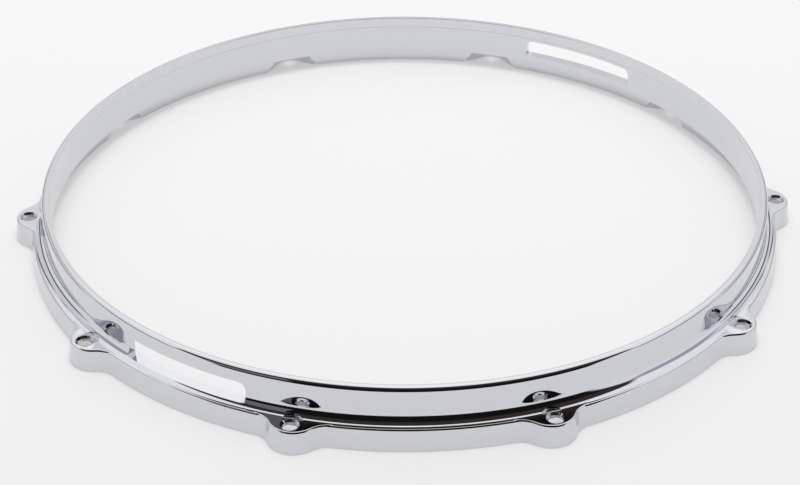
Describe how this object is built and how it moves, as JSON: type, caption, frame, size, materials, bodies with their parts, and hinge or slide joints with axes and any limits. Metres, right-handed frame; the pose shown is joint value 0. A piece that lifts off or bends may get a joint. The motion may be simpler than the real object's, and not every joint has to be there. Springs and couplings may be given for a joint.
{
  "type": "drum hoop",
  "caption": "Die-cast snare drum hoop: upright wall with two gates for the snare straps, flange, skirt and ears with countersunk rod holes.",
  "frame": {"origin": "on the hoop's axis, at the height of the skirt's lower edge, which it stands on", "axes": "+Z along the axis, from the skirt up to the rim; +X through the middle of one ear; the two snare gates are centred on +Y and -Y"},
  "size_m": [0.3984, 0.38, 0.03],
  "materials": {
    "chrome_plate": "mirror-polished chrome plate"
  },
  "bodies": {
    "root": {"hoop_casting": "chrome_plate"}
  },
  "joints": []
}
